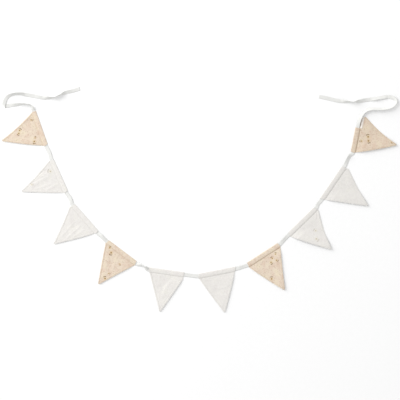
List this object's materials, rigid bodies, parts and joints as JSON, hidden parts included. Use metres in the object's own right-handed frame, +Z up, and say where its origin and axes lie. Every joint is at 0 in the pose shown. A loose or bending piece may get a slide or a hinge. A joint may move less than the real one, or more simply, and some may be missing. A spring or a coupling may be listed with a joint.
{
  "type": "fabric bunting",
  "caption": "String of triangular cotton flags in beige and white, threaded by their stitched casings on a long white ribbon whose free ends are its ties.",
  "frame": {"origin": "middle of the bounding box seen from above, on the surface the bunting lies on", "axes": "+X to the right along the swag from its left tie to its right tie, +Y from the lowest flags towards the two ties, +Z up out of the surface"},
  "size_m": [1.6402, 0.9347, 0.0152],
  "materials": {
    "beige": "matt plain-woven cotton, beige with small scattered sprigs",
    "white": "matt plain-woven cotton, off-white",
    "ribbon": "white ribbon with a slight sheen"
  },
  "bodies": {
    "root": {"flag_01": "beige", "flag_02": "white", "flag_03": "white", "flag_04": "beige", "flag_05": "white", "flag_06": "white", "flag_07": "beige", "flag_08": "white", "flag_09": "white", "flag_10": "beige", "ribbon": "ribbon"}
  },
  "joints": []
}
